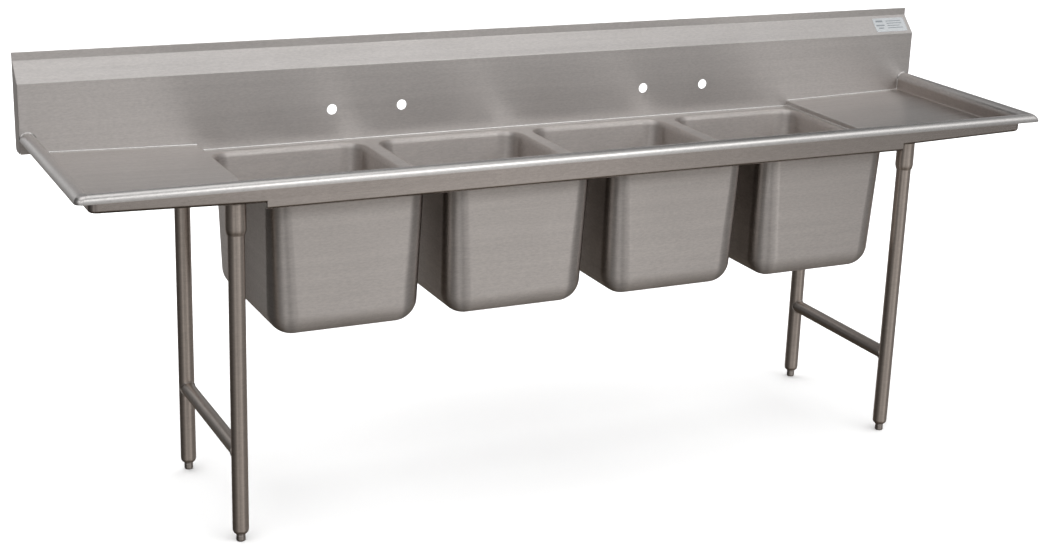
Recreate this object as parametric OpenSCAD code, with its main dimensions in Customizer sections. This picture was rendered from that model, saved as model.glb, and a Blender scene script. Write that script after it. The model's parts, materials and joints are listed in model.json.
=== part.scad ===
// Free-standing four-bowl compartment sink with two drainboards.
// +X is the long way, +Y points to the back splash, +Z is up, the floor is at zero.

/* [Overall] */
// Length over both side rims
overall_l = 2768.6; // [2700:0.1:2850]
// Depth from the front roll to the back of the splash
overall_d = 685.8; // [680:0.1:700]
// Height of the bowl deck above the floor
deck_z = 881; // [840:1:920]
// Thickness of the formed sheet
sheet_t = 1.6; // [1.2:0.1:2]

/* [Bowls] */
// Number of bowls in the row
bowl_count = 4; // [4:1:4]
// Distance between bowl centres
bowl_pitch = 466.7; // [450:0.1:480]
// Inside width of a bowl
bowl_w = 406.4; // [390:0.1:420]
// Inside length of a bowl, front to back
bowl_d = 508; // [490:0.1:520]
// Depth of a bowl below the deck
bowl_h = 355.6; // [300:0.1:380]
// Corner radius of a bowl at its top
bowl_r = 50; // [40:1:60]
// Radius between a bowl's walls and its floor
bowl_foot_r = 62; // [50:1:75]
// Draft of each bowl wall, from its top to its floor
bowl_draft = 7; // [0:0.5:10]
// Position of the bowl row along the depth
bowl_y = -7; // [-12:1:0]
// Radius of the drain opening
drain_r = 44.45; // [40:0.05:48]
// Radius of the stamped drain recess
recess_r = 56; // [54:1:62]
// Depth of the stamped drain recess
recess_h = 5; // [3:1:8]

/* [Drainboards] */
// Half length of the bowl section, to the step of each drainboard
board_x = 927.1; // [920:0.1:940]
// Height of the step from the deck up to a drainboard
board_step = 16; // [12:1:20]
// Fall of a drainboard from its outer end to its step
board_fall = 10; // [4:1:14]

/* [Rim] */
// Diameter of the rolled rim
rim_d = 41; // [36:1:46]
// Height of the roll's top above the deck
rim_h = 80; // [70:1:90]
// Width of the level strip along the outer end of a drainboard
board_level = 12; // [8:1:16]

/* [Splash] */
// Height of the splash above the deck
splash_h = 278; // [240:1:300]
// Depth of the splash box
splash_d = 50.8; // [48:0.1:54]
// Height of the upright top edge
splash_lip_h = 22; // [16:1:28]
// Thickness of the folded top edge
splash_lip_t = 3.2; // [3:0.1:4]
// Height of the sloped face
splash_slope_h = 50; // [44:1:56]
// Corner radius at the foot of each end cap
cap_corner_r = 10; // [6:1:14]
// Height of the faucet holes above the deck
faucet_z = 87; // [70:1:110]
// Distance of the left pair of faucet holes from the middle of the sink
faucet_left_x = 451; // [440:1:480]
// Distance of the right pair of faucet holes from the middle of the sink
faucet_right_x = 517; // [460:1:525]
// Distance between the two holes of a pair
faucet_pitch = 203.2; // [190:0.1:210]
// Radius of a faucet hole
faucet_r = 14.3; // [12:0.1:16]

/* [Label] */
// Width of the blank label
label_w = 118; // [90:1:125]
// Height of the blank label along the slope
label_h = 50; // [30:1:56]
// Thickness of the blank label
label_t = 0.4; // [0.3:0.1:0.8]
// Gap from the splash end to the label
label_gap = 14; // [10:1:30]

/* [Legs] */
// Distance of the legs from the middle, along the length
leg_x = 986; // [980:1:1000]
// Position of the front legs along the depth
leg_front_y = -238.9; // [-245:0.1:-232]
// Position of the rear legs along the depth
leg_rear_y = 241.1; // [232:0.1:246]
// Outer radius of a leg tube
leg_r = 20.65; // [19:0.05:22]
// Wall of a leg tube
tube_t = 1.6; // [1.4:0.1:2]
// Height of a leg tube's lower end above the floor
leg_z = 34; // [30:1:44]
// Radius of a side rail
rail_r = 19.05; // [16:0.05:19.5]
// Height of the side rails
rail_z = 240; // [180:1:320]

/* [Leg sockets] */
// Width of the channel under each drainboard
channel_w = 76; // [68:1:84]
// Plate thickness of the channel
channel_t = 2; // [1.6:0.1:2.5]
// Height of the channel web above the deck's underside
channel_rise = 9; // [2:0.1:9]
// Largest radius of a leg socket
socket_r = 25.5; // [25:0.1:27]
// Length of a leg socket
socket_h = 81; // [60:1:90]
// Height of the socket's tapered mouth
socket_taper_h = 15; // [8:1:20]
// Radius of a set screw
screw_r = 4; // [3:0.1:4.5]
// Distance from the socket's mouth up to its set screw
screw_up = 36; // [28:1:42]

/* [Feet] */
// Largest radius of a bullet foot
foot_r = 11.7; // [11:0.1:12.5]
// Radius of the pad that meets the floor
foot_pad_r = 7.5; // [6:0.1:9]
// Height of a bullet foot below its insert
foot_h = 21.5; // [20:0.1:22]
// Radius of the foot's threaded stud
stud_r = 8; // [7:0.1:8.5]
// Length of the stud above the bullet
stud_l = 68; // [60:1:80]
// Depth of the stud in the bullet
stud_seat = 11; // [8:1:12]
// Height of the insert's tapered collar
collar_h = 12; // [10:1:12]
// Radius at the bottom of the tapered collar
collar_r = 13.5; // [12.8:0.1:16]
// Length of the insert inside the leg
plug_h = 26; // [20:1:34]

/* [Hidden] */
half_l = overall_l / 2;
front_y = -overall_d / 2;
back_y = overall_d / 2;
wall_y = front_y + rim_d;
splash_y = back_y - splash_d;
wall_x = half_l - rim_d;
roll_z = deck_z + rim_h - rim_d / 2;
roll_r = rim_d / 2;
board_in_z = deck_z + board_step;
board_out_z = board_in_z + board_fall;
board_flat_x = wall_x - board_level;
board_slope = board_fall / (board_flat_x - board_x);
splash_top_z = deck_z + splash_h;
lip_z = splash_top_z - splash_lip_h;
knee_z = lip_z - splash_slope_h;
lip_y = back_y - splash_lip_t;
slope_angle = atan2(splash_slope_h, lip_y - splash_y);
slope_len = splash_slope_h / sin(slope_angle);
floor_z = deck_z - bowl_h;
channel_z = deck_z - sheet_t + channel_rise;
mouth_z = channel_z - socket_h;
socket_bore = leg_r + 0.25;
socket_cap = 3;
stud_bore = stud_r + 0.05;
cut = 1;
arc = 96;

function bowl_x(i) = (i - (bowl_count - 1) / 2) * bowl_pitch;
function board_under(x) = board_in_z - sheet_t + (x - board_x) * board_slope;

// ---- bowls and deck ----

module bowl_form(grow, low, high) {
    r = bowl_r + grow;
    foot_r = bowl_foot_r + grow;
    w = bowl_w / 2 - bowl_r;
    d = bowl_d / 2 - bowl_r;
    foot_w = bowl_w / 2 - bowl_draft - bowl_foot_r;
    foot_d = bowl_d / 2 - bowl_draft - bowl_foot_r;
    hull() {
        for (sx = [-1, 1], sy = [-1, 1]) {
            translate([sx * foot_w, sy * foot_d, low + foot_r]) sphere(r = foot_r, $fn = 32);
            translate([sx * w, sy * d, high - cut]) cylinder(r = r, h = cut, $fn = 32);
        }
        translate([-foot_w, -foot_d, low]) cube([2 * foot_w, 2 * foot_d, cut]);
    }
}

module bowl(i) {
    color("#b9b5b0")
    translate([bowl_x(i), bowl_y, 0]) difference() {
        union() {
            bowl_form(sheet_t, floor_z - sheet_t, deck_z - sheet_t);
            translate([0, 0, floor_z - recess_h - sheet_t])
                cylinder(r = recess_r + sheet_t, h = recess_h + sheet_t / 2, $fn = arc);
        }
        bowl_form(0, floor_z, deck_z + cut);
        translate([0, 0, floor_z - recess_h]) cylinder(r = recess_r, h = recess_h + cut, $fn = arc);
        translate([0, 0, floor_z - 2 * recess_h - cut])
            cylinder(r = drain_r, h = 3 * recess_h, $fn = arc);
    }
}

module bowl_outline() {
    w = bowl_w / 2 - bowl_r;
    d = bowl_d / 2 - bowl_r;
    square([2 * w, bowl_d], center = true);
    square([bowl_w, 2 * d], center = true);
    for (sx = [-1, 1], sy = [-1, 1]) translate([sx * w, sy * d]) circle(r = bowl_r, $fn = arc);
}

module bowl_deck() {
    x = board_x - sheet_t;
    color("#bcb8b3")
    translate([0, 0, deck_z - sheet_t]) linear_extrude(sheet_t) difference() {
        translate([-x, wall_y]) square([2 * x, splash_y - wall_y]);
        for (i = [0 : bowl_count - 1]) translate([bowl_x(i), bowl_y]) bowl_outline();
    }
}

// ---- drainboards ----

module board_section() {
    polygon([
        [board_x, board_in_z], [board_flat_x, board_out_z], [wall_x, board_out_z],
        [wall_x, board_out_z - sheet_t], [board_flat_x, board_out_z - sheet_t],
        [board_x, board_in_z - sheet_t], [board_x, deck_z - sheet_t],
        [board_x - sheet_t, deck_z - sheet_t], [board_x - sheet_t, board_in_z]
    ]);
}

module drainboard_right() {
    color("#bfbbb6")
    translate([0, splash_y, 0]) rotate([90, 0, 0]) linear_extrude(splash_y - wall_y) board_section();
}

module drainboard_left() {
    mirror([1, 0, 0]) drainboard_right();
}

// ---- rolled rim ----

// Section of the rim: the first axis runs outward from the inner face, the second is height.
module roll_section() {
    translate([roll_r, roll_z]) intersection() {
        difference() {
            circle(r = roll_r, $fn = arc);
            circle(r = roll_r - sheet_t, $fn = arc);
        }
        translate([-roll_r - cut, 0]) square([rim_d + 2 * cut, roll_r + cut]);
    }
}

module side_section() {
    roll_section();
    translate([0, board_out_z - sheet_t]) square([sheet_t, roll_z - board_out_z + sheet_t]);
}

module front_rim() {
    x = board_flat_x;
    low = board_out_z - sheet_t;
    color("#c6c3bf") intersection() {
        union() {
            translate([-half_l, wall_y, 0]) rotate([90, 0, 90]) linear_extrude(2 * half_l)
                mirror([1, 0]) roll_section();
            translate([0, wall_y, 0]) rotate([90, 0, 0]) linear_extrude(sheet_t) polygon([
                [-half_l, roll_z], [-half_l, low], [-x, low], [-board_x, board_in_z - sheet_t],
                [-board_x, deck_z - sheet_t], [board_x, deck_z - sheet_t],
                [board_x, board_in_z - sheet_t], [x, low], [half_l, low], [half_l, roll_z]
            ]);
        }
        linear_extrude(2 * roll_z) polygon([
            [cut - wall_x, wall_y + cut], [wall_x - cut, wall_y + cut],
            [half_l + cut, front_y - cut], [-half_l - cut, front_y - cut]
        ]);
    }
}

module right_rim() {
    color("#c4c1bc") intersection() {
        translate([wall_x, splash_y, 0]) rotate([90, 0, 0]) linear_extrude(splash_y - front_y)
            side_section();
        linear_extrude(2 * roll_z) polygon([
            [wall_x - cut, wall_y + cut], [half_l + cut, front_y - cut],
            [half_l + cut, splash_y + cut], [wall_x - cut, splash_y + cut]
        ]);
    }
}

module left_rim() {
    mirror([1, 0, 0]) right_rim();
}

// ---- splash ----

module splash_section() {
    n_y = sheet_t * sin(slope_angle);
    n_z = sheet_t * cos(slope_angle);
    low = deck_z - sheet_t;
    polygon([
        [splash_y, low], [splash_y, knee_z], [lip_y, lip_z], [lip_y, splash_top_z],
        [back_y, splash_top_z], [back_y, lip_z], [lip_y + n_y, lip_z - n_z],
        [splash_y + sheet_t, knee_z - sheet_t * tan(45 - slope_angle / 2)],
        [splash_y + sheet_t, low]
    ]);
}

module faucet_hole(x) {
    translate([x, splash_y - cut, deck_z + faucet_z]) rotate([-90, 0, 0])
        cylinder(r = faucet_r, h = sheet_t + 2 * cut, $fn = arc);
}

module under_board_cut() {
    low = deck_z - sheet_t - cut;
    x = half_l + cut;
    z = board_out_z - sheet_t;
    translate([0, back_y + cut, 0]) rotate([90, 0, 0]) linear_extrude(splash_d + 2 * cut)
        polygon([[board_x, low], [x, low], [x, z], [board_flat_x, z], [board_x, board_under(board_x)]]);
}

module back_splash() {
    x = half_l - sheet_t;
    color("#b4b0ab")
    difference() {
        translate([-x, 0, 0]) rotate([90, 0, 90]) linear_extrude(2 * x) splash_section();
        under_board_cut();
        mirror([1, 0, 0]) under_board_cut();
        for (x = [-faucet_left_x, faucet_right_x], e = [-1, 1]) faucet_hole(x + e * faucet_pitch / 2);
    }
}

module splash_end_right() {
    z = board_out_z - sheet_t;
    r = cap_corner_r;
    color("#a9a5a0")
    translate([half_l - sheet_t, 0, 0]) rotate([90, 0, 90]) linear_extrude(sheet_t) {
        polygon([
            [splash_y, z + r], [splash_y + r, z + r], [splash_y + r, z], [back_y - r, z],
            [back_y - r, z + r], [back_y, z + r], [back_y, splash_top_z],
            [lip_y, splash_top_z], [lip_y, lip_z], [splash_y, knee_z]
        ]);
        translate([splash_y + r, z + r]) circle(r = r, $fn = arc);
        translate([back_y - r, z + r]) circle(r = r, $fn = arc);
    }
}

module splash_end_left() {
    mirror([1, 0, 0]) splash_end_right();
}

module blank_label() {
    color("#d8d8d6")
    translate([half_l - label_gap - label_w, splash_y, knee_z]) rotate([slope_angle, 0, 0])
        translate([0, (slope_len - label_h) / 2, 0]) cube([label_w, label_h, label_t]);
}

// ---- leg sockets ----

module leg_channel_right() {
    a = leg_x - channel_w / 2;
    b = leg_x + channel_w / 2;
    t = channel_t;
    front = leg_front_y - socket_r - 4;
    rear = leg_rear_y + socket_r + 4;
    color("#a6a29d")
    translate([0, rear, 0]) rotate([90, 0, 0]) linear_extrude(rear - front) polygon([
        [a, channel_z], [b, channel_z], [b, board_under(b)], [b - t, board_under(b - t)],
        [b - t, channel_z + t], [a + t, channel_z + t], [a + t, board_under(a + t)],
        [a, board_under(a)]
    ]);
}

module leg_channel_left() {
    mirror([1, 0, 0]) leg_channel_right();
}

module socket(x, y) {
    inner = socket_bore;
    color("#aeaaa5")
    translate([x, y, mouth_z]) difference() {
        rotate_extrude($fn = arc) polygon([
            [inner, 0], [inner + 1.4, 0], [socket_r, socket_taper_h], [socket_r - 0.5, socket_h],
            [0, socket_h], [0, socket_h - socket_cap], [inner, socket_h - socket_cap]
        ]);
        translate([0, leg_r, screw_up]) rotate([-90, 0, 0])
            cylinder(r = screw_r + 0.05, h = socket_r, $fn = 32);
    }
}

module set_screw(x, y) {
    translate([x, y + leg_r, mouth_z + screw_up]) rotate([-90, 0, 0]) difference() {
        cylinder(r = screw_r, h = socket_r - leg_r + 3, $fn = 32);
        translate([0, 0, socket_r - leg_r]) cylinder(r = screw_r / 2, h = 4, $fn = 6);
    }
}

module set_screws() {
    color("#8d8a86")
    for (s = [-1, 1], y = [leg_front_y, leg_rear_y]) set_screw(s * leg_x, y);
}

// ---- legs, rails and feet ----

module leg(x, y) {
    color("#b2aea9")
    translate([x, y, leg_z]) difference() {
        cylinder(r = leg_r, h = channel_z - socket_cap - cut - leg_z, $fn = arc);
        translate([0, 0, -cut]) cylinder(r = leg_r - tube_t, h = channel_z, $fn = arc);
    }
}

module side_rail(x) {
    color("#b2aea9")
    difference() {
        translate([x, leg_front_y, rail_z]) rotate([-90, 0, 0]) difference() {
            cylinder(r = rail_r, h = leg_rear_y - leg_front_y, $fn = arc);
            translate([0, 0, -cut])
                cylinder(r = rail_r - tube_t, h = leg_rear_y - leg_front_y + 2 * cut, $fn = arc);
        }
        for (y = [leg_front_y, leg_rear_y]) translate([x, y, rail_z - 2 * rail_r])
            cylinder(r = leg_r + 0.02, h = 4 * rail_r, $fn = arc);
    }
}

module insert(x, y) {
    color("#9b9893")
    translate([x, y, leg_z - collar_h]) rotate_extrude($fn = arc) polygon([
        [stud_bore, 0], [collar_r, 0], [leg_r, collar_h], [leg_r - tube_t - 0.05, collar_h],
        [leg_r - tube_t - 0.05, collar_h + plug_h], [stud_bore, collar_h + plug_h]
    ]);
}

module stud(x, y) {
    color("#85827e")
    translate([x, y, foot_h - stud_seat]) cylinder(r = stud_r, h = stud_seat + stud_l, $fn = 64);
}

module foot(x, y) {
    color("#908d88")
    translate([x, y, 0]) rotate_extrude($fn = arc) polygon([
        [0, 0], [foot_pad_r, 0], [foot_r - 1.2, 2.4], [foot_r, 6], [foot_r, foot_h - 1],
        [foot_r - 1, foot_h], [stud_bore, foot_h], [stud_bore, foot_h - stud_seat],
        [0, foot_h - stud_seat]
    ]);
}

bowl(0);  // bowl_1
bowl(1);  // bowl_2
bowl(2);  // bowl_3
bowl(3);  // bowl_4
bowl_deck();
drainboard_left();
drainboard_right();
front_rim();
left_rim();
right_rim();
back_splash();
splash_end_left();
splash_end_right();
blank_label();
leg_channel_left();
leg_channel_right();
socket(-leg_x, leg_front_y);  // socket_front_left
socket(leg_x, leg_front_y);  // socket_front_right
socket(-leg_x, leg_rear_y);  // socket_rear_left
socket(leg_x, leg_rear_y);  // socket_rear_right
set_screws();
leg(-leg_x, leg_front_y);  // leg_front_left
leg(leg_x, leg_front_y);  // leg_front_right
leg(-leg_x, leg_rear_y);  // leg_rear_left
leg(leg_x, leg_rear_y);  // leg_rear_right
side_rail(-leg_x);  // side_rail_left
side_rail(leg_x);  // side_rail_right
insert(-leg_x, leg_front_y);  // insert_front_left
insert(leg_x, leg_front_y);  // insert_front_right
insert(-leg_x, leg_rear_y);  // insert_rear_left
insert(leg_x, leg_rear_y);  // insert_rear_right
stud(-leg_x, leg_front_y);  // stud_front_left
stud(leg_x, leg_front_y);  // stud_front_right
stud(-leg_x, leg_rear_y);  // stud_rear_left
stud(leg_x, leg_rear_y);  // stud_rear_right
foot(-leg_x, leg_front_y);  // foot_front_left
foot(leg_x, leg_front_y);  // foot_front_right
foot(-leg_x, leg_rear_y);  // foot_rear_left
foot(leg_x, leg_rear_y);  // foot_rear_right
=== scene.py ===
"""Looks of the four-bowl compartment sink: formed sheet, bowls, tubes, welds, finishes, light and camera."""
import json
import math

import bmesh
import bpy
from mathutils import Matrix, Vector


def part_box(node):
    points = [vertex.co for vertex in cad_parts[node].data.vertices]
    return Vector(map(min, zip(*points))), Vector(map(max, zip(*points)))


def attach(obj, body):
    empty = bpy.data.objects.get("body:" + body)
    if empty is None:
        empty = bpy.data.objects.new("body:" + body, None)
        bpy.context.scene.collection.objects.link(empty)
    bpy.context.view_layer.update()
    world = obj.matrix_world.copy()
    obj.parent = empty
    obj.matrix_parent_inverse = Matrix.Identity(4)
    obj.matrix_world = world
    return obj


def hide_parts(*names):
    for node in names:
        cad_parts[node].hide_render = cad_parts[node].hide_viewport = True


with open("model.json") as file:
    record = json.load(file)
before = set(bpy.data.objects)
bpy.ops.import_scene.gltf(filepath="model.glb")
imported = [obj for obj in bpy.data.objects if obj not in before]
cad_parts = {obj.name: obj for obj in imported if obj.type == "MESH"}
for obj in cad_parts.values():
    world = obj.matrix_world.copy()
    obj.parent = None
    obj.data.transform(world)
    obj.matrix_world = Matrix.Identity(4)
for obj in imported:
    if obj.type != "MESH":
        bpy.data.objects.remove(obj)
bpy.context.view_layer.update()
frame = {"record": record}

UP = Vector((0, 0, 1))

# ---- places, read from the frame ----

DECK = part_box("bowl_deck")
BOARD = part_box("drainboard_right")
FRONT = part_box("front_rim")
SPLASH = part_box("back_splash")
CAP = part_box("splash_end_right")
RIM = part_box("right_rim")
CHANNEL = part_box("leg_channel_right")
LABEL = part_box("blank_label")

SHEET = DECK[1].z - DECK[0].z
DECK_Z = DECK[1].z
WALL_Y = DECK[0].y
FACE_Y = DECK[1].y
BACK_Y = SPLASH[1].y
STEP_X = DECK[1].x
WALL_X = BOARD[1].x
HALF_L = RIM[1].x
ROLL_R = (FRONT[1].y - FRONT[0].y) / 2
ROLL_Z = FRONT[1].z - ROLL_R
OUT_Z = BOARD[1].z
FALL = 0.010
IN_Z = OUT_Z - FALL

# ---- holes, read from the record's mounts ----

MOUNTS = {mount["name"]: mount for mount in frame["record"]["mounts"]}
FAUCET_PAIRS = [MOUNTS[f"faucet_holes_{side}"]["pos_m"] for side in ("left", "right")]
FAUCET_R = MOUNTS["faucet_holes_left"]["dims"]["hole_r_mm"] / 1000
FAUCET_PITCH = MOUNTS["faucet_holes_left"]["dims"]["spacing_x_mm"] / 1000
DRAIN_R = MOUNTS["drain_1"]["dims"]["r_mm"] / 1000

# ---- sizes that no box gives, the same as the CAD's, and sizes of details that only the looks have ----

WELD_R = 0.0036
BEAD_R = 0.0026
NECK_BEAD_R = 0.0018
RAIL_BEAD_R = 0.0022
FLARE_R = 0.014
BEND_R = 0.004
COVE_R = 0.0064
CORNER_R = 0.018
EDGE_BEVEL = 0.0006
EDGE_X = WALL_X - COVE_R
EDGE_Y = WALL_Y + COVE_R
FLAT_X = WALL_X - 0.012
BOWL_R = 0.050
BOWL_FOOT_R = 0.062
BOWL_DRAFT = 0.007
RECESS_R = 0.056
RECESS_H = 0.005
LIP_H = 0.022
LIP_T = 0.0032
SLOPE_H = 0.050
CAP_CORNER_R = 0.010
TUBE_T = 0.0016
LEG_R = 0.02065
SOCKET_GAP = 0.00025
STUD_BORE = 0.00805
COLLAR_H = 0.012
COLLAR_R = 0.0135
CHANNEL_T = 0.002
HEX_R = 0.0022
HEX_DEPTH = 0.003
THREAD_PITCH = 0.002
THREAD_DEPTH = 0.0009

# Bars on the label, as shares of its half width and half height: (across, up, half width, half height).
LABEL_MARKS = [
    (-0.62, 0.55, 0.22, 0.13), (-0.62, -0.05, 0.26, 0.09), (-0.62, -0.45, 0.16, 0.07),
    (0.30, 0.55, 0.48, 0.05), (0.30, 0.22, 0.48, 0.05), (0.22, -0.12, 0.40, 0.05),
    (0.30, -0.45, 0.48, 0.05),
]

CORNERS = ["front_left", "front_right", "rear_left", "rear_right"]
SIDES = {"left": -1, "right": 1}


def middle(node):
    """Centre of a CAD node's box."""
    low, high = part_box(node)
    return (low + high) / 2


# ---- outlines and meshes ----

def arc(centre, radius, start, end, steps):
    """Points on an arc in a plane, from one angle to another, in degrees."""
    angles = [math.radians(start + (end - start) * i / steps) for i in range(steps + 1)]
    return [(centre[0] + radius * math.cos(a), centre[1] + radius * math.sin(a)) for a in angles]


def bent(points, radius, steps=6):
    """A path whose inner corners are rounded to the given radius."""
    path = [points[0]]
    for before, at, after in zip(points, points[1:], points[2:]):
        a = (Vector(before) - Vector(at)).normalized()
        b = (Vector(after) - Vector(at)).normalized()
        half = a.angle(b) / 2
        centre = Vector(at) + (a + b).normalized() * radius / math.sin(half)
        first = Vector(at) + a * radius / math.tan(half) - centre
        turn = first.angle_signed(Vector(at) + b * radius / math.tan(half) - centre)
        for i in range(steps + 1):
            path.append(tuple(centre + Matrix.Rotation(-turn * i / steps, 2) @ first))
    return path + [points[-1]]


def thick(path, t):
    """Closed outline of a sheet: the path, and back along it at the sheet's thickness to its right."""
    back = []
    for i, p in enumerate(path):
        along = Vector(path[min(i + 1, len(path) - 1)]) - Vector(path[max(i - 1, 0)])
        ahead = Vector(path[min(i + 1, len(path) - 1)]) - Vector(path[min(i, len(path) - 2)])
        side = Vector((along.y, -along.x)).normalized()
        stretch = max(0.7, abs(side.dot(Vector((ahead.y, -ahead.x)).normalized())))
        back.append(tuple(Vector(p) + side * t / stretch))
    return path + back[::-1]


def rounded_rect(half_w, half_d, radius, z, centre=(0, 0), steps=10):
    """Ring of a rounded rectangle at one height, as 3-D points."""
    ring = []
    for sx, sy, start in ((1, 1, 0), (-1, 1, 90), (-1, -1, 180), (1, -1, 270)):
        at = (centre[0] + sx * (half_w - radius), centre[1] + sy * (half_d - radius))
        ring += [(x, y, z) for x, y in arc(at, radius, start, start + 90, steps)]
    return ring


def loft(rings, caps=True, closed=False):
    """Vertices and faces that join rings of equal length, one to the next."""
    n = len(rings[0])
    verts = [p for ring in rings for p in ring]
    faces = []
    for r in range(len(rings) if closed else len(rings) - 1):
        a, b = r * n, (r + 1) % len(rings) * n
        faces += [(a + i, a + (i + 1) % n, b + (i + 1) % n, b + i) for i in range(n)]
    if caps and not closed:
        faces.append(tuple(range(n))[::-1])
        faces.append(tuple(range(len(verts) - n, len(verts))))
    return verts, faces


def piece(name, parts, material, replaces=(), body="sink", bevel=0.0, sharp=35):
    """One object from one or more (vertices, faces) parts, welded, smooth and ready to ride its body."""
    bm = bmesh.new()
    for verts, faces in parts:
        made = [bm.verts.new(v) for v in verts]
        for face in faces:
            corners = list(dict.fromkeys(made[i] for i in face))
            if len(corners) > 2:
                bm.faces.new(corners)
    bmesh.ops.remove_doubles(bm, verts=bm.verts, dist=1e-6)
    bmesh.ops.dissolve_degenerate(bm, edges=bm.edges, dist=1e-7)
    bmesh.ops.recalc_face_normals(bm, faces=bm.faces)
    for face in bm.faces:
        face.smooth = True
    for edge in bm.edges:
        edge.smooth = edge.calc_face_angle(0) < math.radians(sharp)
    mesh = bpy.data.meshes.new(name)
    bm.to_mesh(mesh)
    bm.free()
    mesh.materials.append(material)
    made = bpy.data.objects.new(name, mesh)
    bpy.context.collection.objects.link(made)
    if bevel:
        edges = made.modifiers.new("edge", "BEVEL")
        edges.width = bevel
        edges.segments = 3
        edges.limit_method = "ANGLE"
        edges.angle_limit = math.radians(sharp)
        edges.harden_normals = False
    normals = made.modifiers.new("flat faces", "WEIGHTED_NORMAL")
    normals.keep_sharp = True
    if replaces:
        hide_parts(*replaces)
    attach(made, body)
    return made


def along_x(outline, x0, x1):
    """A prism of an outline given as (y, z)."""
    return loft([[(x, y, z) for y, z in outline] for x in (x0, x1)])


def along_y(outline, y0, y1):
    """A prism of an outline given as (x, z)."""
    return loft([[(x, y, z) for x, z in outline] for y in (y0, y1)])


def mirrored(part):
    """The same part on the other side of the middle."""
    verts, faces = part
    return [(-v[0], v[1], v[2]) for v in verts], faces


def on_side(part, sign):
    """The part as it is on the right, or its mirror image on the left."""
    return part if sign > 0 else mirrored(part)


def lathe(profile, centre, steps=72, axis=UP):
    """A turned part from a closed (radius, height) profile round an axis through a point."""
    turn = UP.rotation_difference(axis).to_matrix()
    rings = []
    for i in range(steps):
        a = 2 * math.pi * i / steps
        way = Vector((math.cos(a), math.sin(a), 0))
        rings.append([tuple(Vector(centre) + turn @ (way * r + UP * h)) for r, h in profile])
    return loft(rings, closed=True)


def tube_along(path, radius, steps=12):
    """A round bead of weld along a path of 3-D points."""
    points = [Vector(p) for p in path]
    rings = []
    side = None
    for i, p in enumerate(points):
        along = (points[min(i + 1, len(points) - 1)] - points[max(i - 1, 0)]).normalized()
        if side is None:
            side = along.orthogonal()
        side = (side - along * side.dot(along)).normalized()
        other = along.cross(side)
        rings.append([
            tuple(p + (side * math.cos(a) + other * math.sin(a)) * radius)
            for a in (2 * math.pi * k / steps for k in range(steps))
        ])
    return loft(rings)


def fillet_along(stations, radius, steps=6):
    """A ground weld in an inner corner, sunk a little into both sheets.

    Each station is (corner point, direction along one sheet, direction along the other).
    """
    sunk = -0.0002
    curve = arc((radius, radius), radius, 180, 270, steps)
    section = [(sunk, sunk), (sunk, radius)] + curve + [(radius, sunk)]
    rings = []
    for corner, first, second in stations:
        at, first, second = Vector(corner), Vector(first), Vector(second)
        rings.append([tuple(at + first * a + second * b) for a, b in section])
    return loft(rings)


def cut_away(target, parts):
    """Cuts closed (vertices, faces) parts out of an object's mesh."""
    for i, (verts, faces) in enumerate(parts):
        mesh = bpy.data.meshes.new("cutter")
        mesh.from_pydata(verts, [], faces)
        bm = bmesh.new()
        bm.from_mesh(mesh)
        bmesh.ops.recalc_face_normals(bm, faces=bm.faces)
        bm.to_mesh(mesh)
        bm.free()
        cutter = bpy.data.objects.new("cutter", mesh)
        bpy.context.collection.objects.link(cutter)
        cut = target.modifiers.new(f"cut {i}", "BOOLEAN")
        cut.object = cutter
        cut.solver = "EXACT"
        target.modifiers.move(len(target.modifiers) - 1, 0)
        bpy.context.view_layer.update()
        with bpy.context.temp_override(object=target, active_object=target):
            bpy.ops.object.modifier_apply(modifier=cut.name)
        bpy.data.objects.remove(cutter)
    for face in target.data.polygons:
        face.use_smooth = True


# ---- finishes ----

def nodes_of(name):
    """A new node material: its tree and its shader."""
    material = bpy.data.materials.new(name)
    material.use_nodes = True
    tree = material.node_tree
    return material, tree, tree.nodes["Principled BSDF"]


def noise(tree, scale, detail=3.0, rough=0.5, seed=0.0):
    """Noise over the object's own coordinates, stretched by a scale for each axis."""
    place = tree.nodes.new("ShaderNodeTexCoord")
    mapping = tree.nodes.new("ShaderNodeMapping")
    mapping.inputs["Scale"].default_value = scale
    mapping.inputs["Location"].default_value = (seed, seed * 0.7, seed * 1.3)
    texture = tree.nodes.new("ShaderNodeTexNoise")
    texture.inputs["Scale"].default_value = 1.0
    texture.inputs["Detail"].default_value = detail
    texture.inputs["Roughness"].default_value = rough
    tree.links.new(place.outputs["Object"], mapping.inputs["Vector"])
    tree.links.new(mapping.outputs["Vector"], texture.inputs["Vector"])
    return texture.outputs["Fac"]


def spread(tree, value, low, high):
    """The middle of a noise, stretched to run from low to high."""
    node = tree.nodes.new("ShaderNodeMapRange")
    node.inputs["From Min"].default_value = 0.3
    node.inputs["From Max"].default_value = 0.7
    node.inputs["To Min"].default_value = low
    node.inputs["To Max"].default_value = high
    tree.links.new(value, node.inputs["Value"])
    return node.outputs["Result"]


def mapped(tree, value, source, target, curve="SMOOTHSTEP"):
    """A value carried from one range to another."""
    node = tree.nodes.new("ShaderNodeMapRange")
    node.interpolation_type = curve
    for name, number in zip(("From Min", "From Max", "To Min", "To Max"), (*source, *target)):
        node.inputs[name].default_value = number
    tree.links.new(value, node.inputs["Value"])
    return node.outputs["Result"]


def total(tree, first, second):
    """The sum of two values."""
    node = tree.nodes.new("ShaderNodeMath")
    node.operation = "ADD"
    tree.links.new(first, node.inputs[0])
    tree.links.new(second, node.inputs[1])
    return node.outputs["Value"]


def tinted(tree, factor, low, high):
    """A colour between two, by a factor."""
    node = tree.nodes.new("ShaderNodeMix")
    node.data_type = "RGBA"
    node.inputs["A"].default_value = (*low, 1)
    node.inputs["B"].default_value = (*[min(1.0, c) for c in high], 1)
    tree.links.new(factor, node.inputs["Factor"])
    return node.outputs["Result"]


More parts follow.
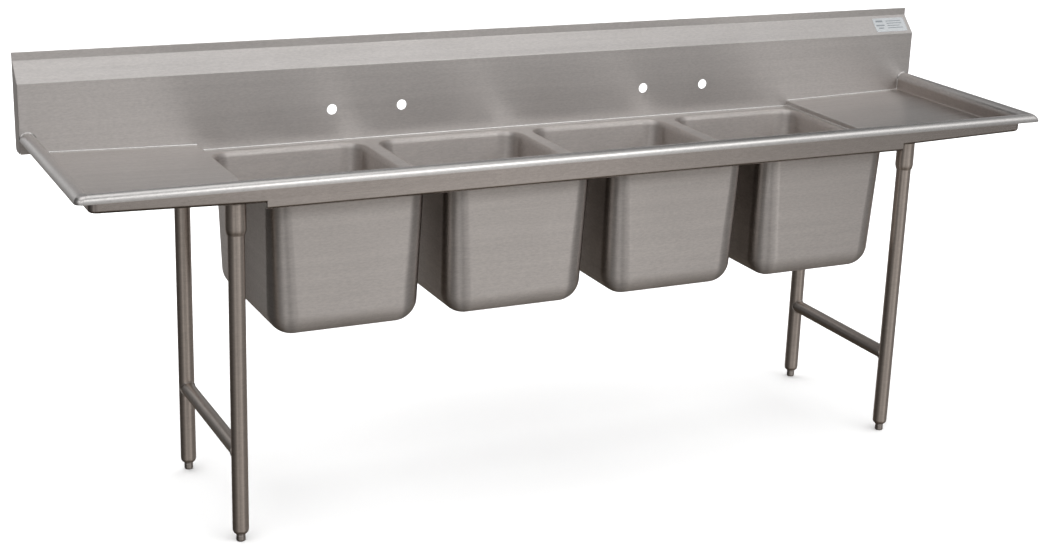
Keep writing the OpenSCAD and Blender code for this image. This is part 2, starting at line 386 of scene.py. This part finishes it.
def times(tree, first, second):
    """The product of two colours."""
    node = tree.nodes.new("ShaderNodeMix")
    node.data_type = "RGBA"
    node.blend_type = "MULTIPLY"
    node.inputs["Factor"].default_value = 1.0
    tree.links.new(first, node.inputs["A"])
    tree.links.new(second, node.inputs["B"])
    return node.outputs["Result"]


def paint_shade_below(tree, colour, height, shade):
    """The colour, multiplied by a painted shade below a height, standing in for the shade under the roll."""
    place = tree.nodes.new("ShaderNodeTexCoord")
    split = tree.nodes.new("ShaderNodeSeparateXYZ")
    tree.links.new(place.outputs["Object"], split.inputs["Vector"])
    edge = mapped(tree, split.outputs["Z"], (height - 0.006, height + 0.004), (0, 1))
    return times(tree, colour, tinted(tree, edge, shade, (1, 1, 1)))


def steel(name, colour, rough=0.32, grain="x", mottle=0.11, bump=0.10, aniso=0.55, seed=0.0, painted_shade=None):
    """Satin stainless steel: fine lines along the grain, a fine mottle, soft streaks and faint smudges.

    The grain runs along one axis, or round an axis where it names the other two. Reflections smear across it.
    """
    material, tree, shader = nodes_of(name)
    lines = noise(tree, tuple(4.0 if a in grain else 640.0 for a in "xyz"), 3.0, 0.6, seed)
    flecks = noise(tree, tuple(80.0 if a in grain else 240.0 for a in "xyz"), 3.0, 0.7, seed + 1.9)
    bands = noise(tree, tuple(1.2 if a in grain else 60.0 for a in "xyz"), 2.0, 0.5, seed + 3.1)
    smudge = noise(tree, (5.0, 5.0, 5.0), 4.0, 0.6, seed + 7.7)
    factor = total(tree, spread(tree, flecks, 0.0, 0.7), spread(tree, bands, 0.0, 0.3))
    dark = [c * (1 - mottle) for c in colour]
    look = tinted(tree, factor, dark, [c * (1 + mottle) for c in colour])
    # Painted shade: where given, the colour is darkened below a height.
    if painted_shade:
        look = paint_shade_below(tree, look, *painted_shade)
    tree.links.new(look, shader.inputs["Base Color"])
    grit = total(tree, spread(tree, lines, rough - 0.04, rough + 0.04), spread(tree, smudge, -0.03, 0.04))
    tree.links.new(grit, shader.inputs["Roughness"])
    relief = tree.nodes.new("ShaderNodeBump")
    relief.inputs["Strength"].default_value = bump
    relief.inputs["Distance"].default_value = 0.0002
    tree.links.new(total(tree, lines, flecks), relief.inputs["Height"])
    tree.links.new(relief.outputs["Normal"], shader.inputs["Normal"])
    way = tree.nodes.new("ShaderNodeCombineXYZ")
    along = grain if len(grain) == 1 else next(a for a in "xyz" if a not in grain)
    for axis in "XYZ":
        way.inputs[axis].default_value = float(axis.lower() == along)
    tree.links.new(way.outputs["Vector"], shader.inputs["Tangent"])
    shader.inputs["Metallic"].default_value = 1.0
    shader.inputs["Anisotropic"].default_value = aniso
    shader.inputs["Anisotropic Rotation"].default_value = 0.25 if len(grain) == 1 else 0.0
    return material


def sticker(name, colour):
    """Blank label stock, or a printed mark on it, with a faint mottle."""
    material, tree, shader = nodes_of(name)
    cloud = noise(tree, (160.0, 160.0, 160.0), 3.0, 0.6, 2.0)
    look = tinted(tree, cloud, [c * 0.9 for c in colour], [c * 1.1 for c in colour])
    tree.links.new(look, shader.inputs["Base Color"])
    tree.links.new(spread(tree, cloud, 0.38, 0.48), shader.inputs["Roughness"])
    return material


def plain(name, colour, rough):
    """A floor or backdrop finish, with a slight unevenness."""
    material, tree, shader = nodes_of(name)
    look = tinted(tree, noise(tree, (3.0, 3.0, 3.0), 2.0), colour, [c * 0.985 for c in colour])
    tree.links.new(look, shader.inputs["Base Color"])
    shader.inputs["Roughness"].default_value = rough
    return material


# Painted shade for the rims' walls under the roll, multiplied into their colour below the roll's axis.
PAINTED_WALL_SHADE = (0.72, 0.675, 0.65)
SHEET_STEEL = steel("sheet steel", (0.70, 0.668, 0.648), 0.34, "x", aniso=0.7, seed=1)
SPLASH_STEEL = steel("splash steel", (0.685, 0.655, 0.637), 0.43, "x", aniso=0.8, seed=2)
CAP_STEEL = steel("end cap steel", (0.64, 0.61, 0.595), 0.36, "y", seed=11)
RIM_STEEL = steel("rim steel", (0.73, 0.71, 0.695), 0.24, "x", bump=0.06, seed=3,
                  painted_shade=(ROLL_Z, PAINTED_WALL_SHADE))
SIDE_STEEL = steel("side rim steel", (0.70, 0.675, 0.66), 0.32, "y", bump=0.03, seed=4,
                   painted_shade=(ROLL_Z, PAINTED_WALL_SHADE))
BOWL_STEEL = steel("bowl steel", (0.77, 0.725, 0.697), 0.49, "xy", aniso=0.9, seed=5)
TUBE_STEEL = steel("tube steel", (0.67, 0.595, 0.54), 0.36, "xy", seed=6)
RAIL_STEEL = steel("rail steel", (0.54, 0.485, 0.445), 0.34, "xz", seed=7)
PLATE_STEEL = steel("plate steel", (0.50, 0.465, 0.44), 0.42, "y", seed=8)
TURNED_STEEL = steel("turned steel", (0.56, 0.52, 0.49), 0.30, "xy", seed=9)
WELD_STEEL = steel("ground weld", (0.74, 0.725, 0.71), 0.24, "x", bump=0.05, aniso=0.2, seed=10)
BEAD_STEEL = steel("tube weld", (0.56, 0.515, 0.48), 0.34, "x", aniso=0.2, seed=12)
LABEL_STOCK = sticker("label stock", (0.335, 0.35, 0.36))
LABEL_INK = sticker("label ink", (0.16, 0.175, 0.19))

# Light from ahead of the object and from behind it, by elevation: (degrees, brightness, warmth).
# Each is multiplied by a share for the direction from left to right: (place from -1 to 1, share).
FRONT_LIGHT = [(-90, 0.04, 0.25), (-48, 0.09, 0.25), (-32, 0.40, 0.08), (-20, 0.63, 0.03), (-8, 0.64, 0.02),
               (10, 0.74, 0.0), (28, 0.92, 0.0), (36, 2.2, 0.0), (47, 2.2, 0.0), (54, 0.70, 0.0),
               (64, 0.52, 0.0), (74, 1.5, 0.0), (90, 1.9, 0.0)]
BACK_LIGHT = [(-90, 0.03, 0.25), (-32, 0.09, 0.20), (-20, 0.17, 0.08), (-12, 0.22, 0.04), (0, 0.42, 0.0),
              (10, 0.56, 0.0), (30, 0.40, 0.0), (60, 0.40, 0.0), (74, 1.5, 0.0), (90, 1.9, 0.0)]
FRONT_SIDES = [(-1.0, 0.20), (-0.80, 0.25), (-0.66, 0.70), (-0.50, 0.80), (-0.38, 0.42), (-0.20, 0.45),
               (-0.08, 0.80), (0.06, 0.62), (0.20, 0.56), (0.28, 0.86), (0.34, 1.0), (0.46, 1.0),
               (0.55, 0.65), (0.62, 0.45), (0.80, 0.34)]
BACK_SIDES = [(-1.0, 0.25), (-0.70, 0.28), (-0.62, 0.22), (-0.55, 0.10), (-0.43, 0.10), (-0.35, 1.3),
              (-0.20, 1.3), (0.0, 0.70), (0.40, 0.72), (0.50, 0.56), (0.56, 0.30), (0.62, 0.55),
              (0.68, 1.1), (0.80, 1.1)]


# ---- bowls and deck ----

def bowl_part(node):
    """A deep drawn bowl: a flared lip, coved corners, and a stamped recess with its drain opening."""
    low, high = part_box(node)
    x, y = (low.x + high.x) / 2, (low.y + high.y) / 2
    half_w, half_d = (high.x - low.x) / 2 - SHEET, (high.y - low.y) / 2 - SHEET
    floor = low.z + SHEET + RECESS_H

    def skin(grow, flare):
        """Rings of one face of the sheet, from the lip to the drain."""
        rings = []
        top = DECK_Z - FLARE_R
        for u, v in arc((FLARE_R, 0), flare, 90, 180, 6):
            rings.append(rounded_rect(half_w + u, half_d + u, BOWL_R + u, top + v, (x, y)))
        foot = BOWL_FOOT_R + grow
        base = floor - grow
        for u, v in arc((0, 0), foot, 0, 90, 12):
            inset = BOWL_DRAFT + foot - u - grow
            corner = max(0.002, u)
            rings.append(rounded_rect(half_w - inset, half_d - inset, corner, base + foot - v, (x, y)))
        edge = RECESS_R + grow
        for inset, drop in ((-0.006, 0), (-0.002, 0.0008), (0, 0.0025), (0.003, RECESS_H)):
            r = edge - inset
            rings.append(rounded_rect(r, r, r, base - drop, (x, y)))
        rings.append(rounded_rect(DRAIN_R, DRAIN_R, DRAIN_R, base - RECESS_H, (x, y)))
        return rings

    inside = skin(0, FLARE_R)
    outside = skin(SHEET, FLARE_R - SHEET)
    return loft(inside + outside[::-1], closed=True)


def add_bowls():
    for i in range(1, 5):
        node = f"bowl_{i}"
        piece(f"{node}_drawn", [bowl_part(node)], BOWL_STEEL, [node])


def bowl_hole(node):
    """The cutter for the deck's opening round a bowl's flared lip."""
    low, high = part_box(node)
    x, y = (low.x + high.x) / 2, (low.y + high.y) / 2
    w = (high.x - low.x) / 2 - SHEET + FLARE_R
    d = (high.y - low.y) / 2 - SHEET + FLARE_R
    return loft([rounded_rect(w, d, BOWL_R + FLARE_R, z, (x, y)) for z in (DECK_Z - 0.02, DECK_Z + 0.02)])


def add_deck():
    outline = [(EDGE_Y, DECK[0].z), (FACE_Y, DECK[0].z), (FACE_Y, DECK_Z), (EDGE_Y, DECK_Z)]
    deck = piece("deck_sheet", [along_x(outline, -STEP_X, STEP_X)], SHEET_STEEL, ["bowl_deck"])
    cut_away(deck, [bowl_hole(f"bowl_{i}") for i in range(1, 5)])


# ---- drainboards ----

def board_top(x):
    """Height of the right drainboard's surface at a distance from the middle."""
    start = STEP_X + SHEET
    return IN_Z + FALL * min(1.0, max(0.0, (x - start) / (FLAT_X - start)))


def board_part():
    """The right drainboard: pitched sheet with a rounded outer front corner, and a turned-down inner edge."""
    path = bent([(STEP_X, DECK[0].z), (STEP_X, IN_Z), (FLAT_X - 0.01, board_top(FLAT_X - 0.01))], BEND_R)
    path += [(FLAT_X, OUT_Z), (EDGE_X, OUT_Z)]
    outline = thick(path, SHEET)
    start = EDGE_Y + CORNER_R
    rings = [[(x, FACE_Y, z) for x, z in outline]]
    for a in range(0, 91, 9):
        inset = CORNER_R * (1 - math.cos(math.radians(a)))
        y = start - CORNER_R * math.sin(math.radians(a))
        rings.append([(min(x, EDGE_X - inset), y, z) for x, z in outline])
    return loft(rings)


def add_boards():
    for side, sign in SIDES.items():
        node = f"drainboard_{side}"
        sheet = on_side(board_part(), sign)
        piece(f"{node}_sheet", [sheet], SHEET_STEEL, [node], bevel=EDGE_BEVEL)


# ---- rolled rim ----

def roll_path(top):
    """Section of the rim from the surface it rises from: (distance outward from the inner face, height)."""
    cove = arc((-COVE_R, top + COVE_R), COVE_R, 270, 360, 6)
    return cove + arc((ROLL_R, ROLL_Z), ROLL_R, 180, 0, 28)


def rim_ring(top, place):
    """One station of the rim's sheet; place gives (x, y) for a distance outward from the inner face."""
    return [(*place(u), z) for u, z in thick(roll_path(top), SHEET)]


def side_rim_part():
    """The right rim: a straight run from the splash, then round the mitred front corner."""
    rings = [rim_ring(OUT_Z, lambda u: (WALL_X + u, FACE_Y))]
    for a in range(0, 91, 9):
        along = CORNER_R * (1 - math.cos(math.radians(a)))
        across = CORNER_R * (1 - math.sin(math.radians(a)))
        rings.append(rim_ring(OUT_Z, lambda u: (WALL_X + u - along, WALL_Y - u + across)))
    return loft(rings)


def front_rim_part():
    """The front rim. Its wall steps down where the deck is lower than the drainboards."""
    step = STEP_X + SHEET
    level = FLAT_X - CORNER_R
    stations = [(level, OUT_Z), (step, IN_Z), (step, DECK_Z)]
    rings = [rim_ring(OUT_Z, lambda u: (-WALL_X + CORNER_R - u, WALL_Y - u))]
    for x, top in [(-x, top) for x, top in stations] + stations[::-1]:
        rings.append(rim_ring(top, lambda u: (x, WALL_Y - u)))
    rings.append(rim_ring(OUT_Z, lambda u: (WALL_X - CORNER_R + u, WALL_Y - u)))
    return loft(rings)


def add_rims():
    piece("front_rim_rolled", [front_rim_part()], RIM_STEEL, ["front_rim"],
          bevel=EDGE_BEVEL)
    for side, sign in SIDES.items():
        node = f"{side}_rim"
        run = on_side(side_rim_part(), sign)
        piece(f"{node}_rolled", [run], SIDE_STEEL, [node], bevel=EDGE_BEVEL)


# ---- splash ----

def splash_path(base):
    """Section of the splash's sheet as (y, z), from its foot to its top edge."""
    top = SPLASH[1].z
    lip_y = BACK_Y - LIP_T
    lip_z = top - LIP_H
    points = [(FACE_Y, base), (FACE_Y, lip_z - SLOPE_H), (lip_y, lip_z), (lip_y, top)]
    return bent(points, BEND_R)


def splash_outline(base):
    """Closed section of the splash, with the folded top edge."""
    path = splash_path(base)
    outline = thick(path, SHEET)
    top = SPLASH[1].z
    n = len(path)
    crown = arc((BACK_Y - LIP_T / 2, top - LIP_T / 2), LIP_T / 2, 180, 0, 8)
    fold_z = top - LIP_H + 0.003
    back = [p for p in outline[n:] if p[1] < fold_z - 0.002]
    return path[:-1] + crown + [(BACK_Y, fold_z), (BACK_Y - LIP_T + SHEET, fold_z - 0.0005)] + back


def add_splash():
    inner = HALF_L - SHEET
    low = DECK[0].z
    step = STEP_X + SHEET
    sheet = piece("splash_sheet", [along_x(splash_outline(low), -inner, inner)], SPLASH_STEEL,
                  ["back_splash"])
    away = []
    for sign in SIDES.values():
        outline = [(step, low - 0.01), (HALF_L, low - 0.01), (HALF_L, OUT_Z - SHEET),
                   (FLAT_X, OUT_Z - SHEET), (step, IN_Z - SHEET)]
        away.append(on_side(along_y(outline, FACE_Y - 0.01, BACK_Y + 0.01), sign))
    profile = [(FAUCET_R, -0.01), (FAUCET_R, 0.02)]
    for x, _, z in FAUCET_PAIRS:
        for end in (-1, 1):
            centre = (x + end * FAUCET_PITCH / 2, FACE_Y, z)
            away.append(solid_turn(profile, centre, Vector((0, 1, 0))))
    cut_away(sheet, away)
    for side, sign in SIDES.items():
        node = f"splash_end_{side}"
        piece(f"{node}_cap", [on_side(cap_part(), sign)], CAP_STEEL, [node], bevel=0.0007)


def solid_turn(profile, centre, axis, steps=64):
    """A solid of revolution from an open (radius, height) profile, closed by flat ends."""
    turn = UP.rotation_difference(axis).to_matrix()
    rings = []
    for r, h in profile:
        ring = []
        for i in range(steps):
            a = 2 * math.pi * i / steps
            ring.append(tuple(Vector(centre) + turn @ Vector((r * math.cos(a), r * math.sin(a), h))))
        rings.append(ring)
    return loft(rings)


def cap_part():
    """The right end cap: a flat plate of the splash's own section, with rounded lower corners."""
    z = CAP[0].z
    r = CAP_CORNER_R
    front = splash_path(z + r)
    top = SPLASH[1].z
    crown = arc((BACK_Y - LIP_T / 2, top - LIP_T / 2), LIP_T / 2, 180, 0, 8)
    lower = arc((BACK_Y - r, z + r), r, 0, -90, 6) + arc((FACE_Y + r, z + r), r, 270, 180, 6)
    return along_x(front[:-1] + crown + lower[:-1], CAP[0].x, CAP[1].x)


def add_label():
    """The label on the slope: a rounded plate with eased edges, and plain bars in place of its print."""
    centre = (LABEL[0] + LABEL[1]) / 2
    right = Vector((1, 0, 0))
    rise = Vector((0, BACK_Y - LIP_T - FACE_Y, SLOPE_H)).normalized()
    normal = right.cross(rise)
    half_w = (LABEL[1].x - LABEL[0].x) / 2
    half_h = (LABEL[1].z - LABEL[0].z) / (2 * rise.z)
    low = centre - normal * 0.0002
    rings = []
    for inset, height in ((0, 0), (0, 0.0003), (0.0003, 0.0004), (0.004, 0.0004), (0.0043, 0.0003)):
        ring = rounded_rect(half_w - inset, half_h - inset, 0.004 - inset * 0.5, height, steps=5)
        rings.append([tuple(low + right * a + rise * b + normal * c) for a, b, c in ring])
    piece("label_plate", [loft(rings)], LABEL_STOCK, ["blank_label"])
    marks = []
    for across, up, w, h in LABEL_MARKS:
        at = low + right * across * half_w + rise * up * half_h
        rings = []
        for z in (0.0002, 0.0005):
            ring = rounded_rect(w * half_w, h * half_h, 0.0005, z, steps=2)
            rings.append([tuple(at + right * a + rise * b + normal * c) for a, b, c in ring])
        marks.append(loft(rings))
    piece("label_marks", marks, LABEL_INK)


# ---- welds ----

def board_welds():
    """Ground welds at the right drainboard: along the splash, and at the foot of the riser."""
    back = [((x, FACE_Y, board_top(x)), (0, -1, 0), UP) for x in (STEP_X + 0.003, FLAT_X, WALL_X)]
    riser = [((STEP_X, y, DECK_Z), (-1, 0, 0), UP) for y in (EDGE_Y, FACE_Y)]
    return [fillet_along(back, WELD_R), fillet_along(riser, WELD_R)]


def rim_ring_weld():
    """The bead where the right rim's section meets the splash, inside the sink's own length."""
    path = [(min(WALL_X + u, HALF_L - BEAD_R), FACE_Y, z) for u, z in roll_path(OUT_Z)]
    return tube_along(path, BEAD_R)


def saddle(x, y, z, radius, leg, toward):
    """The curve where a rail of one radius meets a leg of another."""
    points = []
    for i in range(49):
        a = 2 * math.pi * i / 48
        dx = radius * math.cos(a)
        out = math.sqrt(max(0.0, leg * leg - dx * dx))
        points.append((x + dx, y + toward * out, z + radius * math.sin(a)))
    return points


def add_welds():
    for side, sign in SIDES.items():
        parts = [on_side(part, sign) for part in board_welds() + [rim_ring_weld()]]
        piece(f"welds_{side}", parts, WELD_STEEL)
    back = [((x, FACE_Y, DECK_Z), (0, -1, 0), UP) for x in (-STEP_X, STEP_X)]
    piece("welds_deck", [fillet_along(back, WELD_R)], WELD_STEEL)


# ---- legs, rails, sockets and feet ----

def leg_place(corner):
    """Axis of a leg, on the floor."""
    at = middle(f"leg_{corner}")
    return Vector((at.x, at.y, 0))


def rounded_profile(points, radius, steps=4):
    """A closed (radius, height) profile with its corners eased."""
    ring = []
    n = len(points)
    for i in range(n):
        before, at, after = Vector(points[i - 1]), Vector(points[i]), Vector(points[(i + 1) % n])
        a, b = (before - at), (after - at)
        reach = min(radius, a.length * 0.4, b.length * 0.4)
        if at.x < 1e-6:
            ring.append(tuple(at))
            continue
        start, end = at + a.normalized() * reach, at + b.normalized() * reach
        for k in range(steps + 1):
            t = k / steps
            ring.append(tuple(start * (1 - t) ** 2 + at * 2 * t * (1 - t) + end * t * t))
    return ring


def add_legs():
    for corner in CORNERS:
        low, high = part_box(f"leg_{corner}")
        r = (high.x - low.x) / 2
        inner = r - TUBE_T
        profile = [(inner, low.z), (r, low.z), (r, high.z), (inner, high.z)]
        at = leg_place(corner)
        tube = lathe(rounded_profile(profile, 0.0007), at)
        piece(f"leg_{corner}_tube", [tube], TUBE_STEEL, [f"leg_{corner}"])
        add_socket(corner, at, r + SOCKET_GAP)
        add_foot(corner, at)


def add_socket(corner, at, mouth):
    """The cup that a leg stands in, and the weld round its top."""
    low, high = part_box(f"socket_{corner}")
    big = (high.x - low.x) / 2
    neck_r = big - 0.0005
    z0, z1 = low.z, high.z
    outer = [(mouth, z0), (mouth + 0.0014, z0), (big - 0.0006, z0 + 0.009), (big, z0 + 0.015),
             (neck_r, z1), (0, z1), (0, z1 - 0.003), (mouth, z1 - 0.003)]
    cup = lathe(rounded_profile(outer, 0.0030), at)
    angles = [2 * math.pi * i / 48 for i in range(49)]
    neck = [(at.x + math.cos(a) * neck_r, at.y + math.sin(a) * neck_r, z1 - 0.0010) for a in angles]
    piece(f"socket_{corner}_cup", [cup], TUBE_STEEL, [f"socket_{corner}"])
    piece(f"socket_{corner}_weld", [tube_along(neck, NECK_BEAD_R)], BEAD_STEEL)


def threaded(radius, low, high, centre, steps=32):
    """A rod with a real helical thread."""
    rows = int((high - low) / THREAD_PITCH * 5)
    rings = []
    for k in range(rows + 1):
        z = low + (high - low) * k / rows
        ease = min(1.0, (z - low) / THREAD_PITCH, (high - z) / THREAD_PITCH)
        ring = []
        for i in range(steps):
            a = 2 * math.pi * i / steps
            phase = (z / THREAD_PITCH - i / steps) % 1.0
            depth = THREAD_DEPTH * (abs(2 * phase - 1) * ease + (1 - ease))
            r = radius - depth
            ring.append((centre.x + r * math.cos(a), centre.y + r * math.sin(a), z))
        rings.append(ring)
    return loft(rings)


def insert_part(low, high, at):
    """The plug in a leg's lower end, with a rounded collar below it."""
    r = (high.x - low.x) / 2
    plug = r - TUBE_T - 0.00005
    ledge = low.z + COLLAR_H
    profile = [(STUD_BORE, low.z)]
    for u, v in arc((0, 0), 1.0, -90, 0, 8):
        profile.append((COLLAR_R + (r - COLLAR_R) * u, ledge + COLLAR_H * v))
    profile += [(plug, ledge), (plug, high.z), (STUD_BORE, high.z)]
    return lathe(rounded_profile(profile, 0.0012), at)


def bullet_part(low, high, seat, at):
    """The bullet foot: a groove near its top, and a socket that the stud sits in."""
    r, top = (high.x - low.x) / 2, high.z
    groove = r - 0.0009
    profile = [(0, 0), (r - 0.0028, 0), (r - 0.0006, 0.0012), (r, 0.004),
               (r, top - 0.0062), (groove, top - 0.0056), (groove, top - 0.0046), (r, top - 0.004),
               (r, top - 0.001), (r - 0.001, top), (STUD_BORE, top), (STUD_BORE, seat), (0, seat)]
    return lathe(rounded_profile(profile, 0.0010), at)


def add_foot(corner, at):
    """The tapered insert, the threaded stud and the bullet foot of one leg."""
    plug = insert_part(*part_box(f"insert_{corner}"), at)
    piece(f"insert_{corner}_plug", [plug], TUBE_STEEL, [f"insert_{corner}"])
    low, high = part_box(f"stud_{corner}")
    rod = threaded((high.x - low.x) / 2, low.z, high.z, at)
    piece(f"stud_{corner}_screw", [rod], TURNED_STEEL, [f"stud_{corner}"],
          body=f"stud_{corner}_body", sharp=70)
    bullet = bullet_part(*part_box(f"foot_{corner}"), low.z, at)
    piece(f"foot_{corner}_bullet", [bullet], TURNED_STEEL, [f"foot_{corner}"],
          body=f"foot_{corner}_body")


def add_rails():
    low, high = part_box("leg_front_left")
    leg_r = (high.x - low.x) / 2
    for side in SIDES:
        node = f"side_rail_{side}"
        low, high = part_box(node)
        x, z, r = (low.x + high.x) / 2, (low.z + high.z) / 2, (high.x - low.x) / 2
        ends = [(leg_place(f"front_{side}").y, 1), (leg_place(f"rear_{side}").y, -1)]
        outer = [saddle(x, y, z, r, leg_r + 0.0001, way)[:-1] for y, way in ends]
        inner = [saddle(x, y, z, r - TUBE_T, leg_r + 0.0001, way)[:-1] for y, way in ends]
        tube = loft(outer + inner[::-1], closed=True)
        piece(f"{node}_tube", [tube], RAIL_STEEL, [node], sharp=50)
        beads = []
        for y, way in ends:
            beads.append(tube_along(saddle(x, y, z, r + 0.0006, leg_r + 0.0006, way), RAIL_BEAD_R))
        piece(f"{node}_weld", beads, BEAD_STEEL)


def channel_part():
    """The right channel: a folded plate that holds the two sockets of one end."""
    a, b, z, t = CHANNEL[0].x, CHANNEL[1].x, CHANNEL[0].z, CHANNEL_T
    outline = [(a, z), (b, z), (b, board_top(b) - SHEET), (b - t, board_top(b - t) - SHEET),
               (b - t, z + t), (a + t, z + t), (a + t, board_top(a + t) - SHEET),
               (a, board_top(a) - SHEET)]
    return along_y(outline, CHANNEL[0].y, CHANNEL[1].y)


def add_channels():
    for side, sign in SIDES.items():
        node = f"leg_channel_{side}"
        plate = on_side(channel_part(), sign)
        piece(f"{node}_plate", [plate], PLATE_STEEL, [node], bevel=0.0008)


def hex_ring(radius, h, steps):
    """A hexagon given as a ring of many points."""
    ring = []
    for i in range(steps):
        a = 2 * math.pi * i / steps
        reach = radius * math.cos(math.pi / 6) / math.cos((a % (math.pi / 3)) - math.pi / 6)
        ring.append((reach * math.cos(a), reach * math.sin(a), h))
    return ring


def add_set_screws():
    """Four screws, each with eased ends and a hexagon recess, pressed against the back of its leg."""
    low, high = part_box("set_screws")
    z, r = (low.z + high.z) / 2, (high.z - low.z) / 2
    length = high.y - leg_place("rear_left").y - LEG_R
    ease = 0.0006
    steps = 36
    ends = ((r - ease, 0), (r, ease), (r, length - ease), (r - ease, length))
    rings = [rounded_rect(q, q, q, h, steps=8) for q, h in ends]
    rings += [hex_ring(HEX_R, length, steps), hex_ring(HEX_R, length - HEX_DEPTH, steps)]
    parts = []
    for corner in CORNERS:
        at = leg_place(corner) + Vector((0, LEG_R, z))
        parts.append(loft([[(at.x + p[0], at.y + p[2], at.z - p[1]) for p in ring] for ring in rings]))
    piece("set_screw_group", parts, TURNED_STEEL, ["set_screws"])


# ---- stage, light and camera ----

def add_floor():
    """A wide pale floor, which reflections leave out."""
    reach = 40
    verts = [(-reach, -reach, 0), (reach, -reach, 0), (reach, reach, 0), (-reach, reach, 0)]
    mesh = bpy.data.meshes.new("floor")
    mesh.from_pydata(verts, [], [(0, 1, 2, 3)])
    mesh.materials.append(plain("pale floor", (0.88, 0.88, 0.88), 0.9))
    floor = bpy.data.objects.new("floor", mesh)
    floor.visible_glossy = False
    bpy.context.collection.objects.link(floor)


def ramp(tree, value, stops):
    """A colour ramp; each stop is (place from -1 to 1, colour)."""
    node = tree.nodes.new("ShaderNodeValToRGB")
    points = node.color_ramp.elements
    points.remove(points[1])
    for i, (place, colour) in enumerate(stops):
        at = (place + 1) / 2
        point = points[0] if i == 0 else points.new(at)
        point.position = at
        point.color = (*colour, 1)
    tree.links.new(value, node.inputs["Fac"])
    return node.outputs["Color"]


def by_height(tree, value, stops):
    """Light by elevation: each stop is (degrees above the horizon, brightness, warmth)."""
    colours = []
    for degrees, light, warmth in stops:
        half = light / 2
        colours.append((math.sin(math.radians(degrees)), (half * (1 + warmth), half, half * (1 - warmth))))
    return ramp(tree, value, colours)


def by_side(tree, value, stops):
    """Share of the light by direction from left to right: each stop is (place from -1 to 1, share)."""
    return ramp(tree, value, [(place, (share,) * 3) for place, share in stops])


def add_light():
    """A studio round the object, and a soft lamp overhead that metal doesn't reflect.

    The studio is a soft box high in front, a band of side light, and dim below and behind.
    """
    world = bpy.data.worlds.new("studio")
    world.use_nodes = True
    bpy.context.scene.world = world
    tree = world.node_tree
    place = tree.nodes.new("ShaderNodeTexCoord")
    split = tree.nodes.new("ShaderNodeSeparateXYZ")
    tree.links.new(place.outputs["Generated"], split.inputs["Vector"])
    height = mapped(tree, split.outputs["Z"], (-1, 1), (0, 1), "LINEAR")
    across = mapped(tree, split.outputs["X"], (-1, 1), (0, 1), "LINEAR")
    front = times(tree, by_height(tree, height, FRONT_LIGHT), by_side(tree, across, FRONT_SIDES))
    back = times(tree, by_height(tree, height, BACK_LIGHT), by_side(tree, across, BACK_SIDES))
    mix = tree.nodes.new("ShaderNodeMix")
    mix.data_type = "RGBA"
    tree.links.new(mapped(tree, split.outputs["Y"], (-0.3, 0.3), (0, 1)), mix.inputs["Factor"])
    tree.links.new(front, mix.inputs["A"])
    tree.links.new(back, mix.inputs["B"])
    sky = tree.nodes["Background"]
    tree.links.new(mix.outputs["Result"], sky.inputs["Color"])
    sky.inputs["Strength"].default_value = 2.0
    sun = bpy.data.lights.new("overhead", "SUN")
    sun.energy = 4.0
    sun.angle = math.radians(120)
    lamp = bpy.data.objects.new("overhead", sun)
    lamp.visible_glossy = False
    bpy.context.collection.objects.link(lamp)


def add_camera():
    """The camera stands at the left of the object and looks along and down at it."""
    place = (-2.2117, -4.3254, 2.0837)
    yaw, pitch, roll = math.radians(27.54), math.radians(-17.39), math.radians(2.33)
    ahead = Vector((math.sin(yaw) * math.cos(pitch), math.cos(yaw) * math.cos(pitch), math.sin(pitch)))
    right = Vector((math.cos(yaw), -math.sin(yaw), 0))
    over = right.cross(ahead)
    x_axis = right * math.cos(roll) + over * math.sin(roll)
    y_axis = over * math.cos(roll) - right * math.sin(roll)
    data = bpy.data.cameras.new("camera")
    data.sensor_width = 36.0
    data.lens = 62.69
    data.shift_x = -0.043
    data.shift_y = -0.0148
    camera = bpy.data.objects.new("camera", data)
    turn = Matrix((x_axis, y_axis, -ahead)).transposed().to_4x4()
    camera.matrix_world = Matrix.Translation(place) @ turn
    bpy.context.collection.objects.link(camera)
    bpy.context.scene.camera = camera
    bpy.context.scene.view_settings.view_transform = "Standard"


add_bowls()
add_deck()
add_boards()
add_rims()
add_splash()
add_label()
add_welds()
add_legs()
add_rails()
add_channels()
add_set_screws()
add_floor()
add_light()
add_camera()
